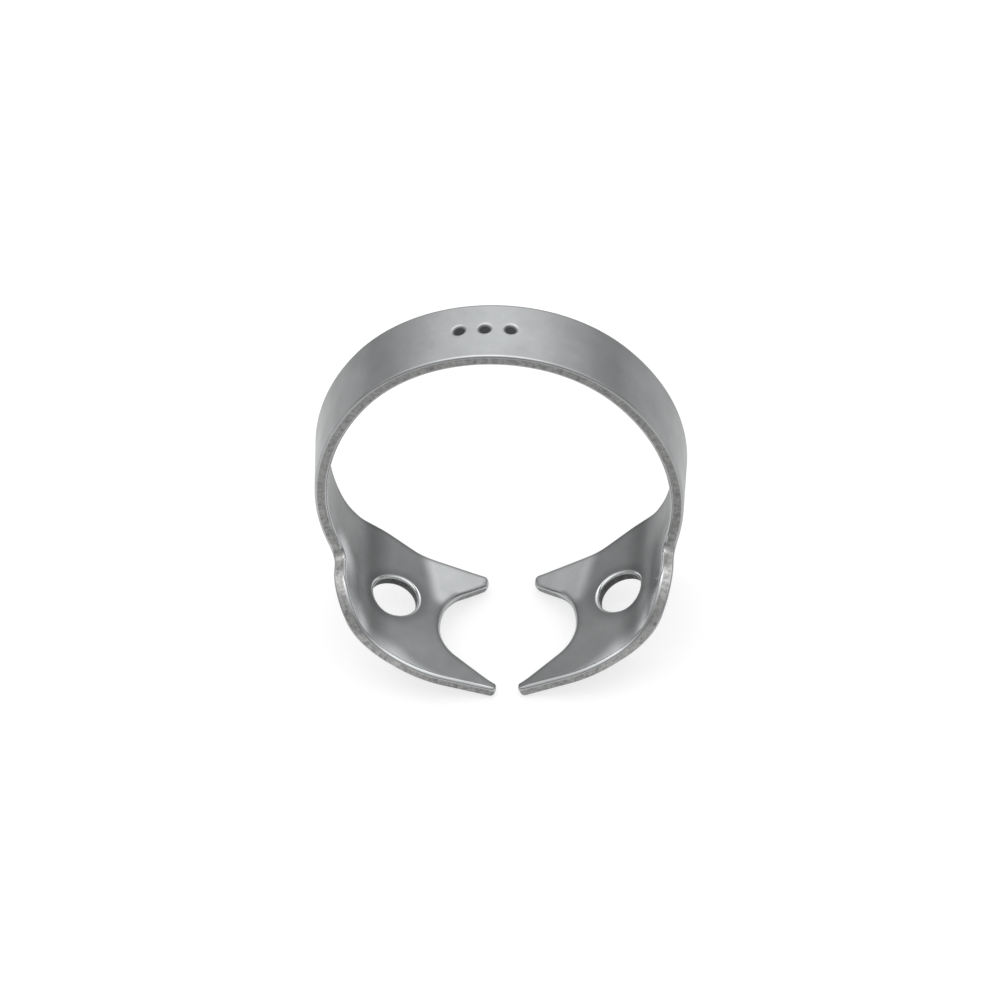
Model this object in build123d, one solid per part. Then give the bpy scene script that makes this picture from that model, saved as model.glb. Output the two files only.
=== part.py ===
"""Rubber dam clamp for a molar: one strip of spring steel, punched out flat and folded to shape.

The strip arches over the tooth as the bow, widens and turns in at two shoulders and ends in two
jaws. Each jaw is a plate that slopes down towards the tooth, with a round forceps hole and two
prongs round the notch that grips the tooth. The rear prongs are bent down a little, so that all
four tips are level, and the bow flares slightly towards the back.

X runs across the mouth, +Y is the back of the clamp and +Z is up. The clamp stands on its prong tips
at Z = 0, and the origin is in the middle of its box in X and Y. Lengths are in mm, angles in degrees.
"""
import os
from math import asin, cos, degrees, radians, sin, tan

from build123d import *

# Strip
sheet = 0.9                 # thickness of the steel
bow_depth = 4.6             # width of the strip over the bow, front to back

# Bow, seen from the front at its front edge; radii are of the outer face
half_width = 12.5           # from the middle plane to the outer face at the widest line
crown_radius = 11.4         # over the top
crown_turn = 50             # turn of the crown arc on each side of the top
flank_turn = 24.5           # turn of the flank arc below the widest line
flare = 3.5                 # angle at which each flank opens towards the back

# Jaws
shoulder_radius = 5.0       # outer face of the bend between flank and jaw plate
jaw_slope = 21              # of the jaw plates, down towards the tooth
hole_radius = 1.65          # forceps hole
hole_reach = 7.81           # from the middle plane to the middle of a forceps hole
hole_forward = 0.65         # middle of a forceps hole in front of the bow's front edge

# Outline of a jaw, measured on its plate: reach runs from the hole's middle towards the tooth,
# forward and back run from the bow's front edge
rim_reach = 4.3             # outer rim, on the side away from the tooth
rim_radius = 4.2            # outer front corner
front_forward = 7.05        # front edge at the prong
front_corner_reach = 2.05   # where the front edge starts to run back
front_sweep = 25            # angle at which it runs back to the rim
front_radius = 9.0
front_prong_reach = 7.65    # tip of the front prong
front_prong_angle = 32      # of the front prong's inner edge
front_prong_width = 0.55    # at its tip
rear_prong_reach = 6.85     # tip of the rear prong
rear_prong_back = 3.3       # rear corner of the rear prong
rear_prong_angle = 38       # of the rear prong's inner edge
rear_prong_width = 0.85     # at its tip
rear_prong_taper = 4        # of its rear edge
wing_reach = 1.5            # wing, where the strip is widest, at the shoulder away from the tooth
wing_run = 3.1              # length over which the strip widens from the bow to the wing
wing_width = 0.9            # how far the corner of the wing stands out behind the bow's rear edge
wing_radius = 3.0
waist_reach = 1.9           # where the rear edge turns to run along the rear prong
waist_radius = 4.0
notch_reach = 3.42          # bottom of the notch
notch_rear_radius = 4.6
notch_front_radius = 2.8
rear_tip_radius = 0.5
front_tip_radius = 0.3
neck_radius = 0.7           # between the bow's front edge and the rim
fold_reach = 3.2            # where the fold of the rear prong crosses the line of the bow's front edge
fold_lean = 14              # of the fold line, from the Y direction
fold_radius = 4.0           # inner face


def run(angle):
    """Cosine of an angle in degrees."""
    return cos(radians(angle))


def rise(angle):
    """Sine of an angle in degrees."""
    return sin(radians(angle))


def slope(angle):
    """Tangent of an angle in degrees."""
    return tan(radians(angle))


# The inner face is drawn, and the steel lies outside it. In the front view the arch runs through
# crown, flank and shoulder arcs and the straight plate, each tangent to the next.
crown_start = 90 - crown_turn
plate_turn = 90 - jaw_slope
flank_radius = (half_width - crown_radius * rise(crown_turn)) / (1 - rise(crown_turn))
crown_centre = (0, (flank_radius - crown_radius) * run(crown_turn))
flank_centre = (half_width - flank_radius, 0)
shoulder_centre = (flank_centre[0] + (flank_radius - shoulder_radius) * run(flank_turn),
                   -(flank_radius - shoulder_radius) * rise(flank_turn))
plate_start = (shoulder_centre[0] + (shoulder_radius - sheet) * rise(jaw_slope),
               shoulder_centre[1] - (shoulder_radius - sheet) * run(jaw_slope))
hole_z = plate_start[1] - (plate_start[0] - hole_reach) * slope(jaw_slope)

# The right jaw's own plane, on the inner face: x runs towards the tooth, y back, z through the steel.
jaw = Plane(origin=(hole_reach, 0, hole_z), x_dir=(-run(jaw_slope), 0, -rise(jaw_slope)),
            z_dir=(rise(jaw_slope), 0, -run(jaw_slope)))

# The way the right flank runs towards the back. It lies in the jaw's plane, so the plate stays flat.
flare_way = Vector(slope(flare) * run(jaw_slope), 1, slope(flare) * rise(jaw_slope))

# The outline of the flat strip round the right jaw, as corners with their radii.
beyond = 4 * half_width     # longer than anything that is cut with it
strip_reach = -beyond / 2   # past the flank, where the outline is closed
rear_prong_inner = rear_prong_back - rear_prong_width
front_prong_inner = front_prong_width - front_forward
notch_rear = rear_prong_inner - (rear_prong_reach - notch_reach) * slope(rear_prong_angle)
notch_front = front_prong_inner + (front_prong_reach - notch_reach) * slope(front_prong_angle)
wing_back = bow_depth + wing_width
rim_front = (front_corner_reach + rim_reach) * slope(front_sweep) - front_forward
waist_back = rear_prong_back + (rear_prong_reach - waist_reach) * slope(rear_prong_taper)
corners = [
    (strip_reach, bow_depth, 0),
    (-wing_reach - wing_run, bow_depth, waist_radius),
    (-wing_reach, wing_back, wing_radius),
    (waist_reach, waist_back, waist_radius),
    (rear_prong_reach, rear_prong_back, rear_tip_radius),
    (rear_prong_reach, rear_prong_inner, rear_tip_radius),
    (notch_reach, notch_rear, notch_rear_radius),
    (notch_reach, notch_front, notch_front_radius),
    (front_prong_reach, front_prong_inner, front_tip_radius),
    (front_prong_reach, -front_forward, front_tip_radius),
    (front_corner_reach, -front_forward, front_radius),
    (-rim_reach, rim_front, rim_radius),
    (-rim_reach, 0, neck_radius),
    (strip_reach, 0, 0),
]


def fitted_radii(corners):
    """Return each corner's radius, made smaller where its two sides leave no room for it."""
    points = [Vector(x, y) for x, y, radius in corners]
    sides = [after - point for point, after in zip(points, points[1:] + points[:1])]
    turns = [side.get_angle(sides[place - 1]) for place, side in enumerate(sides)]
    lengths = [corner[2] * slope(turn / 2) for corner, turn in zip(corners, turns)]
    room = [0.98 * side.length / max(start + end, 1e-6)
            for side, start, end in zip(sides, lengths, lengths[1:] + lengths[:1])]
    return [corner[2] * min(1, room[place], room[place - 1]) for place, corner in enumerate(corners)]


def arc(centre, radius, start, turn, depth):
    """Return one arc of the inner face in the front view, moved back by a depth."""
    return Plane.XZ.offset(-depth) * CenterArc(centre, radius - sheet, start, turn)


def flank_face(centre, radius, start, turn, front, back):
    """Return the inner face along one arc of the right flank, from front to back."""
    face = Face.extrude(arc(centre, radius, start, turn, 0), flare_way * (back - front))
    return face.moved(Location(flare_way * front))


def steel(face, outward):
    """Return the steel outside an inner face."""
    return Solid.thicken(face, depth=sheet, normal_override=outward)


places = [corner[:2] for corner in corners]
outline = make_face(FilletPolyline(*places, radius=fitted_radii(corners), close=True))
jaw_prism = extrude(jaw * outline, amount=beyond, both=True)

# Bow: the flanks run along their flare, and the crown widens with them.
front = -front_forward - 1
back = wing_back + 1
widening = flare_way.X * bow_depth / rise(crown_turn)
back_crown_centre = (0, crown_centre[1] + flare_way.Z * bow_depth - widening * run(crown_turn))
crown = Face.make_surface_from_curves(
    arc(crown_centre, crown_radius, crown_start, 2 * crown_turn, 0),
    arc(back_crown_centre, crown_radius + widening, crown_start, 2 * crown_turn, bow_depth))
upper_flank = flank_face(flank_centre, flank_radius, 0, crown_start, 0, bow_depth)
lower_flank = flank_face(flank_centre, flank_radius, -flank_turn, flank_turn, front, back)
shoulder = flank_face(shoulder_centre, shoulder_radius, -plate_turn, plate_turn - flank_turn, front, back)

# The plate ends where the shoulder's bend starts, on a line that runs along the flare.
bend_reach = (hole_reach - plate_start[0]) / run(jaw_slope)
bend_side = Pos(bend_reach, 0) * Rot(0, 0, flare) * Rectangle(beyond, beyond, align=(Align.MAX, Align.CENTER))

# The rear prong turns down along a fold line that runs from the notch to the rear edge.
fold = Plane(jaw.location * Pos(fold_reach, 0, 0) * Rot(0, 0, fold_lean))
fold_arm = (rear_prong_reach - fold_reach) * run(fold_lean) + rear_prong_back * rise(fold_lean)
fold_turn = degrees(asin((front_prong_reach - rear_prong_reach) * slope(jaw_slope) / fold_arm))
fold_front = (notch_rear + notch_front) / 2
fold_length = back - fold_front
fold_side = Plane(fold.location * Pos(0, fold_front, 0) * Rot(90, 0, 0))
fold_line = fold_side * CenterArc((0, fold_radius), fold_radius, -90, fold_turn)
fold_face = Face.extrude(fold_line, fold.y_dir * fold_length)
prong_start = Pos(fold_radius * rise(fold_turn), fold_front, fold_radius * (1 - run(fold_turn)))
prong = Plane(fold.location * prong_start * Rot(0, -fold_turn, 0))
prong_face = prong * Rectangle(2 * fold_arm, fold_length, align=Align.MIN)
past_fold = Pos(fold_reach, 0) * Rot(0, 0, fold_lean) * Pos(0, fold_front)
prong_side = past_fold * Rectangle(beyond, beyond, align=Align.MIN)

plate = outline - bend_side - prong_side
half = steel(lower_flank & jaw_prism, (1, 0, 0)).fuse(
    steel(shoulder & jaw_prism, (1, 0, -1)),
    extrude(jaw * plate, amount=sheet),
    steel(fold_face & jaw_prism, jaw.z_dir),
    steel((prong_face & jaw_prism).face(), jaw.z_dir),
    steel(upper_flank, (1, 0, 0)))
half -= extrude(jaw * Pos(0, -hole_forward) * Circle(hole_radius), amount=2 * sheet, both=True)
clamp = (half + mirror(half, Plane.YZ) + steel(crown, (0, 0, 1))).clean()

# Set it down on its prong tips, in the middle.
box = clamp.bounding_box()
clamp = clamp.moved(Location((-box.center().X, -box.center().Y, -box.min.Z)))

os.makedirs("parts", exist_ok=True)
export_step(clamp, "parts/clamp.step")
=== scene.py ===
"""Rubber dam clamp for a molar, dressed as satin polished spring steel.

The clamp is made the way the real one is. A flat blank is punched out with two forceps holes and
lightly tumbled edges, a small generic mark is pressed into it, and the blank is then bent into the
bow, its shoulders and its jaws. Flat places are called along (up from the right jaw, over the bow
and down to the left one), across (towards the back) and deep (through the steel, from the inner
face out). Sizes are in millimetres until a mesh is written, and in metres from there on.
"""
from __future__ import annotations

import logging
import math
from dataclasses import dataclass, field
from enum import Enum
from functools import partial
from typing import Any

import bpy
import numpy as np
from mathutils import Matrix, Vector, geometry, kdtree

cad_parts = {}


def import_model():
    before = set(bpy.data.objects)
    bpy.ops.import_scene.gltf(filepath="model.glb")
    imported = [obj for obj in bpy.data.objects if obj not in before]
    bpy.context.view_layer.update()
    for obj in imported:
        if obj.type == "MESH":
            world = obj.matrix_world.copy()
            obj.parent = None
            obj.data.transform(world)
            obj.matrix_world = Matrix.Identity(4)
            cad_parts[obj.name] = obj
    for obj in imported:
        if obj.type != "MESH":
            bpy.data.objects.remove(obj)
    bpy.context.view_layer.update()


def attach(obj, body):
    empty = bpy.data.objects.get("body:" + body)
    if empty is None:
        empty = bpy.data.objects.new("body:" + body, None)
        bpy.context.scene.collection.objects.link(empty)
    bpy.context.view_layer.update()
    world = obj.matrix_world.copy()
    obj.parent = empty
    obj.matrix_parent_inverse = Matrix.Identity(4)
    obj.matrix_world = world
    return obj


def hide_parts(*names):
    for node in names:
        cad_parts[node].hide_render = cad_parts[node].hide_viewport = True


logging.basicConfig(level=logging.INFO, format="%(name)s: %(message)s")
log = logging.getLogger("clamp")

MM = 0.001                              # metres in a millimetre
BACK = np.array([0.0, 1.0, 0.0])
AT_ONCE = 2000                          # places compared with an outline at a time, to save memory
HALVINGS = 40                           # of a search, which leave far less than a micrometre
TOUCH = 1e-4                            # a gap in millimetres that counts as none
Points = np.ndarray                     # rows of places or vectors, or one number for each
Tree = bpy.types.NodeTree
Socket = bpy.types.NodeSocket


class Face(Enum):
    """The two broad faces of the strip."""

    INNER = "inner"
    OUTER = "outer"


class Finish(Enum):
    """The clamp's two finishes, by their material slots."""

    SATIN = 0
    SHEARED = 1


def cosd(angle: float) -> float:
    """Cosine of an angle in degrees."""
    return math.cos(math.radians(angle))


def sind(angle: float) -> float:
    """Sine of an angle in degrees."""
    return math.sin(math.radians(angle))


def tand(angle: float) -> float:
    """Tangent of an angle in degrees."""
    return math.tan(math.radians(angle))


def unit(ways: Points) -> Points:
    """Scale each vector to a length of 1."""
    return ways / np.linalg.norm(ways, axis=1)[:, None]


def spokes(angle: Points) -> Points:
    """Return unit vectors in the front view, at angles in radians up from the right."""
    return np.stack([np.cos(angle), np.zeros_like(angle), np.sin(angle)], axis=-1)


def turned(way: Points, angle: float) -> Points:
    """Turn a flat vector to the left by an angle in radians."""
    sine, cosine = math.sin(angle), math.cos(angle)
    return np.array([way[0] * cosine - way[1] * sine, way[0] * sine + way[1] * cosine])


def averaged(values: Points) -> Points:
    """Average each value with its two neighbours round a closed loop."""
    return (np.roll(values, 1) + values + np.roll(values, -1)) / 3


def smooth(share: Points) -> Points:
    """Ease a share from 0 to 1."""
    share = np.clip(share, 0, 1)
    return share * share * (3 - 2 * share)


def new_object(name: str, data: Any) -> bpy.types.Object:
    """Put a new object into the scene.

    Args:
        name: Its name.
        data: Its mesh or camera.

    Returns:
        The object.
    """
    thing = bpy.data.objects.new(name, data)
    bpy.context.scene.collection.objects.link(thing)
    return thing


def new_material(name: str) -> bpy.types.Material:
    """Start a material with an empty node tree.

    Args:
        name: Its name.

    Returns:
        The material.
    """
    material = bpy.data.materials.new(name)
    material.use_nodes = True
    material.node_tree.nodes.clear()
    return material


def linear(code: str) -> tuple[float, float, float, float]:
    """Turn an sRGB hex colour into a linear one, by the curve of the sRGB standard.

    Args:
        code: Six hex digits, with or without a leading #.

    Returns:
        Red, green, blue and an alpha of 1.
    """
    parts = [int(code.lstrip("#")[place:place + 2], 16) / 255 for place in (0, 2, 4)]
    red, green, blue = (part / 12.92 if part <= 0.04045 else ((part + 0.055) / 1.055) ** 2.4
                        for part in parts)
    return red, green, blue, 1.0


def add_node(tree: Tree, kind: str, inputs: dict[Any, Any] | None = None, **settings: Any) -> bpy.types.Node:
    """Add a node with its settings and its links or values.

    Args:
        tree: The node tree.
        kind: The node's type name.
        inputs: Socket name or number to a value, or to an output socket to link from.
        settings: Attributes to set on the node before its sockets are filled.

    Returns:
        The new node.
    """
    node = tree.nodes.new(kind)
    for name, value in settings.items():
        setattr(node, name, value)
    for key, value in (inputs or {}).items():
        if isinstance(value, Socket):
            tree.links.new(value, node.inputs[key])
        else:
            node.inputs[key].default_value = value
    return node


def maths(tree: Tree, operation: str, *values: Any) -> Socket:
    """Work out a number from sockets or numbers with a math node."""
    return add_node(tree, "ShaderNodeMath", dict(enumerate(values)), operation=operation).outputs[0]


def mapped(tree: Tree, value: Socket, start: float, end: float, low: Any = 0.0, high: Any = 1.0,
           **settings: Any) -> Socket:
    """Map a range of values to another one, and hold what lies beyond it at its ends.

    Args:
        tree: The node tree.
        value: The value to map.
        start: Value that becomes low.
        end: Value that becomes high.
        low: What start becomes.
        high: What end becomes.
        settings: Attributes to set on the node.

    Returns:
        The mapped value.
    """
    sockets = {"Value": value, "From Min": start, "From Max": end, "To Min": low, "To Max": high}
    return add_node(tree, "ShaderNodeMapRange", sockets, **settings).outputs[0]


def stored(tree: Tree, name: str, output: str = "Fac") -> Socket:
    """Read a vertex attribute of the piece."""
    return add_node(tree, "ShaderNodeAttribute", attribute_name=name).outputs[output]


def noise(tree: Tree, place: Socket, scale: float, detail: float, roughness: float = 0.5) -> Socket:
    """Add a noise pattern with this many patches to each unit of the place."""
    sockets = {"Vector": place, "Scale": scale, "Detail": detail, "Roughness": roughness}
    return add_node(tree, "ShaderNodeTexNoise", sockets).outputs["Fac"]


def stretched(tree: Tree, place: Socket, scale: tuple[float, float, float]) -> Socket:
    """Scale a place along its three directions."""
    return add_node(tree, "ShaderNodeMapping", {"Vector": place, "Scale": scale}).outputs[0]


def blend(tree: Tree, share: Socket, first: Any, second: Any) -> Socket:
    """Mix two colours by a share of the second."""
    sockets = {"Factor": share, 6: first, 7: second}
    return add_node(tree, "ShaderNodeMix", sockets, data_type="RGBA").outputs[2]


def bump(tree: Tree, height: Socket, relief: float, strength: float, coarser: Socket | None = None) -> Socket:
    """Raise a pattern.

    Args:
        tree: The node tree.
        height: The pattern.
        relief: Its height in millimetres.
        strength: Share of it that shows.
        coarser: Normal of a coarser pattern under it.

    Returns:
        The normal.
    """
    sockets = {"Strength": strength, "Distance": relief * MM, "Height": height}
    if coarser is not None:
        sockets["Normal"] = coarser
    return add_node(tree, "ShaderNodeBump", sockets).outputs[0]


def dimmed(tree: Tree, colour: Socket, share: Socket) -> Socket:
    """Scale a colour by a share."""
    return add_node(tree, "ShaderNodeVectorMath", {0: colour, "Scale": share}, operation="SCALE").outputs[0]


def bare_metal(tree: Tree, colour: Socket, roughness: Any, normal: Socket) -> None:
    """End a finish in bare metal with this colour, roughness and normal."""
    metal = add_node(tree, "ShaderNodeBsdfPrincipled", {"Base Color": colour, "Metallic": 1.0,
                                                        "Roughness": roughness, "Normal": normal})
    add_node(tree, "ShaderNodeOutputMaterial", {"Surface": metal.outputs[0]})


@dataclass(frozen=True)
class Punch:
    """Outline of one jaw of the blank, on its plate.

    Reach runs from the middle of the forceps hole towards the tooth. Forward and back run from the
    front edge of the bow.
    """

    hole_radius: float = 1.65
    hole_forward: float = 0.65
    rim_reach: float = 4.3
    rim_radius: float = 4.2
    front_forward: float = 7.05
    front_corner_reach: float = 2.05
    front_sweep: float = 25.0
    front_radius: float = 9.0
    front_prong_reach: float = 7.65
    front_prong_angle: float = 32.0
    front_prong_width: float = 0.55
    rear_prong_reach: float = 6.85
    rear_prong_back: float = 3.3
    rear_prong_angle: float = 38.0
    rear_prong_width: float = 0.85
    rear_prong_taper: float = 4.0
    wing_reach: float = 1.5
    wing_run: float = 3.1
    wing_width: float = 0.9
    wing_radius: float = 3.0
    waist_reach: float = 1.9
    waist_radius: float = 4.0
    notch_reach: float = 3.42
    notch_rear_radius: float = 4.6
    notch_front_radius: float = 2.8
    rear_tip_radius: float = 0.5
    front_tip_radius: float = 0.3
    neck_radius: float = 0.7
    fit: float = 0.98           # share of a side that the roundings at its two ends may take
    least_points: int = 5       # on a rounded corner

    @property
    def notch_rear(self) -> float:
        """Where the rear prong's inner edge would meet the bottom of the notch."""
        inner = self.rear_prong_back - self.rear_prong_width
        return inner - (self.rear_prong_reach - self.notch_reach) * tand(self.rear_prong_angle)

    @property
    def notch_front(self) -> float:
        """Where the front prong's inner edge would meet the bottom of the notch."""
        inner = self.front_prong_width - self.front_forward
        return inner + (self.front_prong_reach - self.notch_reach) * tand(self.front_prong_angle)

    def corners(self, depth: float, strip_reach: float) -> list[tuple[float, float, float]]:
        """Return the outline's corners with their radii, from the back edge round to the front edge.

        Args:
            depth: Width of the strip over the bow.
            strip_reach: Reach at which the outline starts and ends, up on the flank.

        Returns:
            Reach, place across and radius of each corner.
        """
        rim_front = (self.front_corner_reach + self.rim_reach) * tand(self.front_sweep) - self.front_forward
        taper = (self.rear_prong_reach - self.waist_reach) * tand(self.rear_prong_taper)
        rear_inner = self.rear_prong_back - self.rear_prong_width
        return [
            (strip_reach, depth, 0.0),
            (-self.wing_reach - self.wing_run, depth, self.waist_radius),
            (-self.wing_reach, depth + self.wing_width, self.wing_radius),
            (self.waist_reach, self.rear_prong_back + taper, self.waist_radius),
            (self.rear_prong_reach, self.rear_prong_back, self.rear_tip_radius),
            (self.rear_prong_reach, rear_inner, self.rear_tip_radius),
            (self.notch_reach, self.notch_rear, self.notch_rear_radius),
            (self.notch_reach, self.notch_front, self.notch_front_radius),
            (self.front_prong_reach, self.front_prong_width - self.front_forward, self.front_tip_radius),
            (self.front_prong_reach, -self.front_forward, self.front_tip_radius),
            (self.front_corner_reach, -self.front_forward, self.front_radius),
            (-self.rim_reach, rim_front, self.rim_radius),
            (-self.rim_reach, 0.0, self.neck_radius),
            (strip_reach, 0.0, 0.0),
        ]

    def outline(self, depth: float, strip_reach: float, step: float) -> Points:
        """Return the rounded outline as closely spaced points.

        Args:
            depth: Width of the strip over the bow.
            strip_reach: Reach at which the outline starts and ends.
            step: Greatest distance between points.

        Returns:
            Points of reach and place across, from the back edge to the front edge.
        """
        corners = np.array(self.corners(depth, strip_reach))
        points, radii = corners[:, :2], corners[:, 2]
        sides = np.roll(points, -1, axis=0) - points
        lengths = np.linalg.norm(sides, axis=1)
        ways = unit(sides)
        before = np.roll(ways, 1, axis=0)
        turns = np.arccos(np.clip((ways * before).sum(axis=1), -1, 1))
        tangents = radii * np.tan(turns / 2)
        room = self.fit * lengths / np.maximum(tangents + np.roll(tangents, -1), 1e-6)
        tangents *= np.minimum(1, np.minimum(room, np.roll(room, 1)))
        path: list[Points] = [points[0]]
        for place in range(1, len(points)):
            way, after, turn, tangent = before[place], ways[place], turns[place], tangents[place]
            start = points[place] - way * tangent
            count = max(1, math.ceil(np.linalg.norm(start - path[-1]) / step))
            path += [path[-1] + (start - path[-1]) * part / count for part in range(1, count + 1)]
            if tangent > 0:
                side = math.copysign(1, way[0] * after[1] - way[1] * after[0])
                radius = tangent / math.tan(turn / 2)
                centre = start + side * radius * np.array([-way[1], way[0]])
                count = max(self.least_points, math.ceil(radius * turn / step))
                path += [centre + turned(start - centre, side * turn * part / count)
                         for part in range(1, count + 1)]
        return np.array(path)


@dataclass(frozen=True)
class Bends:
    """How the flat blank is bent: crown, flanks, shoulders, jaw plates and rear prongs."""

    sheet: float = 0.9
    depth: float = 4.6
    half_width: float = 12.5
    crown_radius: float = 11.4
    crown_turn: float = 50.0
    flank_turn: float = 24.5
    flare: float = 3.5
    shoulder_radius: float = 5.0
    jaw_slope: float = 21.0
    hole_reach: float = 7.81
    fold_reach: float = 3.2
    fold_lean: float = 14.0
    fold_radius: float = 4.0
    punch: Punch = field(default_factory=Punch)
    to_back: float = 0.8879     # from the middle of the clamp's box to the front edge of the bow
    to_top: float = 12.0745     # from the prong tips to the widest line

    @property
    def stand(self) -> Points:
        """Where the middle of the widest line, at the bow's front edge, is in the CAD model's frame."""
        return np.array([0.0, self.to_back, self.to_top])

    @property
    def flare_way(self) -> Points:
        """The way the right flank runs, for each millimetre towards the back."""
        side = tand(self.flare)
        return np.array([side * cosd(self.jaw_slope), 1.0, side * sind(self.jaw_slope)])

    @property
    def flank_radius(self) -> float:
        """Outer radius of the flank arc, which joins the crown arc to the widest line."""
        return (self.half_width - self.crown_radius * sind(self.crown_turn)) / (1 - sind(self.crown_turn))

    @property
    def crown_inner(self) -> float:
        """Inner radius of the crown arc."""
        return self.crown_radius - self.sheet

    @property
    def flank_inner(self) -> float:
        """Inner radius of the flank arc."""
        return self.flank_radius - self.sheet

    @property
    def shoulder_inner(self) -> float:
        """Inner radius of the shoulder arc."""
        return self.shoulder_radius - self.sheet

    @property
    def flank_centre(self) -> Points:
        """Centre of the right flank arc at the front edge."""
        return np.array([self.half_width - self.flank_radius, 0.0, 0.0])

    @property
    def shoulder_centre(self) -> Points:
        """Centre of the right shoulder arc at the front edge."""
        arm = self.flank_radius - self.shoulder_radius
        return self.flank_centre + arm * np.array([cosd(self.flank_turn), 0.0, -sind(self.flank_turn)])

    @property
    def hole_centre(self) -> Points:
        """Place on the right plate's inner face that is level with the hole, at the bow's front edge."""
        start = self.shoulder_centre + self.shoulder_inner * self.through_plate
        fall = (start[0] - self.hole_reach) * tand(self.jaw_slope)
        return np.array([self.hole_reach, 0.0, start[2] - fall])

    @property
    def towards_tooth(self) -> Points:
        """Down the right plate."""
        return np.array([-cosd(self.jaw_slope), 0.0, -sind(self.jaw_slope)])

    @property
    def through_plate(self) -> Points:
        """Through the right plate, from the inner face out."""
        return np.array([sind(self.jaw_slope), 0.0, -cosd(self.jaw_slope)])

    @property
    def spans(self) -> tuple[float, float, float]:
        """Where shoulder, flank and crown end, in millimetres along from the start of the bend."""
        shoulder = self.shoulder_inner * math.radians(90 - self.jaw_slope - self.flank_turn)
        flank = self.flank_inner * math.radians(self.flank_turn + 90 - self.crown_turn)
        crown = self.crown_inner * math.radians(self.crown_turn)
        return shoulder, shoulder + flank, shoulder + flank + crown

    @property
    def widest(self) -> float:
        """Place along the strip where the right flank is widest."""
        return self.spans[0] + math.radians(self.flank_turn) * self.flank_inner

    def mirrored(self, along: Points) -> tuple[Points, Points]:
        """Mirror places along the left half to the right half.

        Args:
            along: Places along the strip.

        Returns:
            Their places along the right half, and which of them lie on the left half.
        """
        top = self.spans[2]
        left = along > top
        return np.where(left, 2 * top - along, along), left

    def up_shoulder(self, along: Points) -> Points:
        """Return how far up a shoulder's bend the places lie: 0 on the plates and 1 on the bow."""
        return np.clip(self.mirrored(along)[0] / self.spans[0], 0, 1)

    def facing(self, outline: Points, inward: Points) -> tuple[Points, Points]:
        """Tell which way the edges of the jaws face.

        Args:
            outline: The blank's outline.
            inward: Vectors into the steel there.

        Returns:
            How much each place faces the front, and how much it faces away from the tooth.
        """
        into = unit(inward)
        left = self.mirrored(outline[:, 0])[1]
        return into[:, 1], np.where(left, into[:, 0], -into[:, 0])

    def bend_reach(self, across: Points) -> Points:
        """Reach at which the flat plate ends and the shoulder starts."""
        start = self.shoulder_centre[0] + self.shoulder_inner * sind(self.jaw_slope)
        return (self.hole_reach - start) / cosd(self.jaw_slope) - across * tand(self.flare)

    def drop(self, reach: Points, across: Points) -> tuple[Points, Points]:
        """Work out how the rear prong is folded.

        Args:
            reach: Reach of each place on the plate.
            across: Its place across.

        Returns:
            How far each place lies out of the plate, and its slope there.
        """
        lean, run, punch = sind(self.fold_lean), cosd(self.fold_lean), self.punch
        over = (reach - self.fold_reach) * run + across * lean
        side = across * run - (reach - self.fold_reach) * lean
        arm = (punch.rear_prong_reach - self.fold_reach) * run + punch.rear_prong_back * lean
        turn = math.asin((punch.front_prong_reach - punch.rear_prong_reach) * tand(self.jaw_slope) / arm)
        over = np.where(side > (punch.notch_rear + punch.notch_front) / 2, np.maximum(over, 0), 0)
        inside = np.minimum(over, self.fold_radius * math.sin(turn))
        curve = np.sqrt(self.fold_radius ** 2 - inside ** 2)
        return self.fold_radius - curve + (over - inside) * math.tan(turn), inside / curve

    def on_plate(self, along: Points, across: Points, deep: Points) -> Points:
        """Return bent places of the right jaw's plate and its rear prong.

        Args:
            along: Place of each along the strip.
            across: Its place across.
            deep: Its depth in the steel.

        Returns:
            The places, from the middle of the widest line.
        """
        reach = self.bend_reach(across) - along
        fall, steep = self.drop(reach, across)
        over_fold = cosd(self.fold_lean) * self.towards_tooth + sind(self.fold_lean) * BACK
        normal = unit(self.through_plate - steep[:, None] * over_fold)
        return (self.hole_centre + np.outer(reach, self.towards_tooth) + np.outer(across, BACK)
                + np.outer(fall, self.through_plate) + deep[:, None] * normal)

    def on_arc(self, centre: Points, radius: float, angle: Points, across: Points, deep: Points) -> Points:
        """Return bent places of the right shoulder or flank.

        Args:
            centre: Centre of the arc at the bow's front edge.
            radius: Its inner radius.
            angle: Angle of each place round the arc, in radians.
            across: Its place across.
            deep: Its depth in the steel.

        Returns:
            The places, from the middle of the widest line.
        """
        spoke = spokes(angle)
        normal = unit(spoke - np.outer(spoke @ self.flare_way, BACK))
        return centre + np.outer(across, self.flare_way) + radius * spoke + deep[:, None] * normal

    def on_crown(self, angle: Points, across: Points, deep: Points) -> Points:
        """Return bent places of the crown's right half, which widens towards the back.

        Args:
            angle: Angle of each place round the arc, in radians.
            across: Its place across.
            deep: Its depth in the steel.

        Returns:
            The places, from the middle of the widest line.
        """
        widening = self.flare_way[0] / sind(self.crown_turn)
        rising = self.flare_way[2] - widening * cosd(self.crown_turn)
        height = (self.flank_radius - self.crown_radius) * cosd(self.crown_turn) + rising * across
        radius = self.crown_inner + widening * across
        spoke = spokes(angle)
        normal = spoke.copy()
        normal[:, 1] = -(widening + rising * spoke[:, 2])
        middle = np.stack([np.zeros_like(height), across, height], axis=-1)
        return middle + radius[:, None] * spoke + deep[:, None] * unit(normal)

    def bent(self, flat: Points) -> Points:
        """Bend flat places into the clamp, in the CAD model's frame.

        Args:
            flat: Along, across and deep of each place, in millimetres.

        Returns:
            Places in millimetres.
        """
        shoulder_end, flank_end, _ = self.spans
        along, left = self.mirrored(flat[:, 0])
        across, deep = flat[:, 1], flat[:, 2]
        place = np.zeros_like(flat)

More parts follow.
